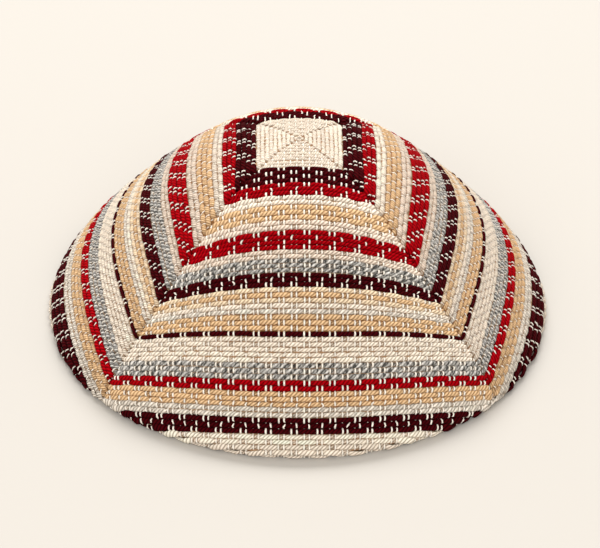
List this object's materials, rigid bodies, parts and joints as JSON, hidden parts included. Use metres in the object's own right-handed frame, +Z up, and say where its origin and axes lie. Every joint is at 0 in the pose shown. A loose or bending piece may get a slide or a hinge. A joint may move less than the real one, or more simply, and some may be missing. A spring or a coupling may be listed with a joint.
{
  "type": "kippah skullcap",
  "caption": "Domed woven skullcap of triangular striped cloth gores sewn point to point at the crown, with a hem turned up inside its rim.",
  "frame": {"origin": "on the surface the cap stands on, under the crown, at the centre of the rim", "axes": "+Z up through the crown; -Y towards the front gore, +X towards the right gore"},
  "size_m": [0.1764, 0.1764, 0.072],
  "materials": {
    "woven_cloth": "thick handwoven cotton, matt, with stripes in cream, gold, red, maroon and grey"
  },
  "bodies": {
    "root": {"gore_front": "woven_cloth", "gore_right": "woven_cloth", "gore_back": "woven_cloth", "gore_left": "woven_cloth"}
  },
  "joints": []
}
